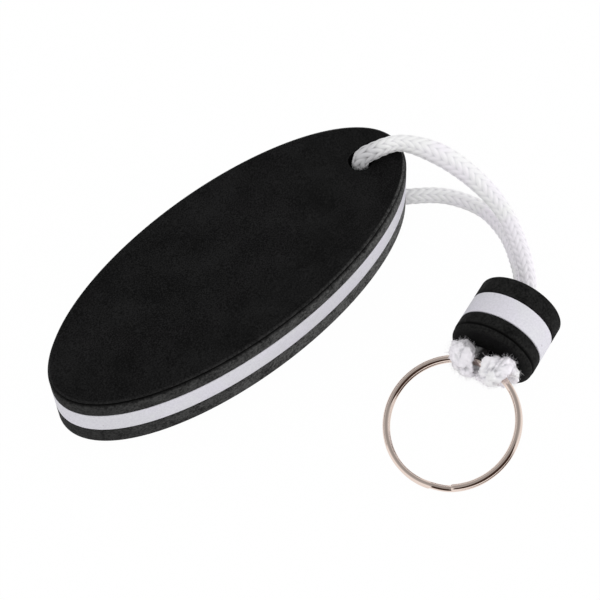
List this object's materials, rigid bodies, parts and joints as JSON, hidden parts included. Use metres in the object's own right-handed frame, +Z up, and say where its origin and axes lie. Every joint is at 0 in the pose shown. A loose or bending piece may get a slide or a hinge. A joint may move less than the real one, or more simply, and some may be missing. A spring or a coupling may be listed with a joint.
{
  "type": "floating keychain",
  "caption": "Oval foam float on a braided cord loop that runs through a small foam bead to a hitched split ring for keys.",
  "frame": {"origin": "on the surface that the keychain lies on, below the middle of the box round the float, the bead and the ring", "axes": "+X along the float's long axis towards its cord hole, +Z up, and the bead and the ring lie on the -Y side of the float"},
  "size_m": [0.1123, 0.0946, 0.0245],
  "materials": {
    "black_foam": "matt closed-cell EVA foam with a fine grain, grey on its cut edges",
    "white_foam": "matt closed-cell EVA foam",
    "cord_white": "round white polyester braid",
    "nickel": "polished nickel plate on flat steel wire"
  },
  "bodies": {
    "float_and_cord": {"float_top_layer": "black_foam", "float_middle_layer": "white_foam", "float_bottom_layer": "black_foam", "bead_near_layer": "black_foam", "bead_middle_layer": "white_foam", "bead_far_layer": "black_foam", "cord": "cord_white"},
    "ring": {"split_ring": "nickel"}
  },
  "joints": [
    {"name": "ring_turn", "type": "hinge", "parent": "float_and_cord", "child": "ring", "pos_m": [0.00855, -0.03232, 0.00666], "axis": [-0.3859, 0, 0.9225], "continuous": true}
  ]
}
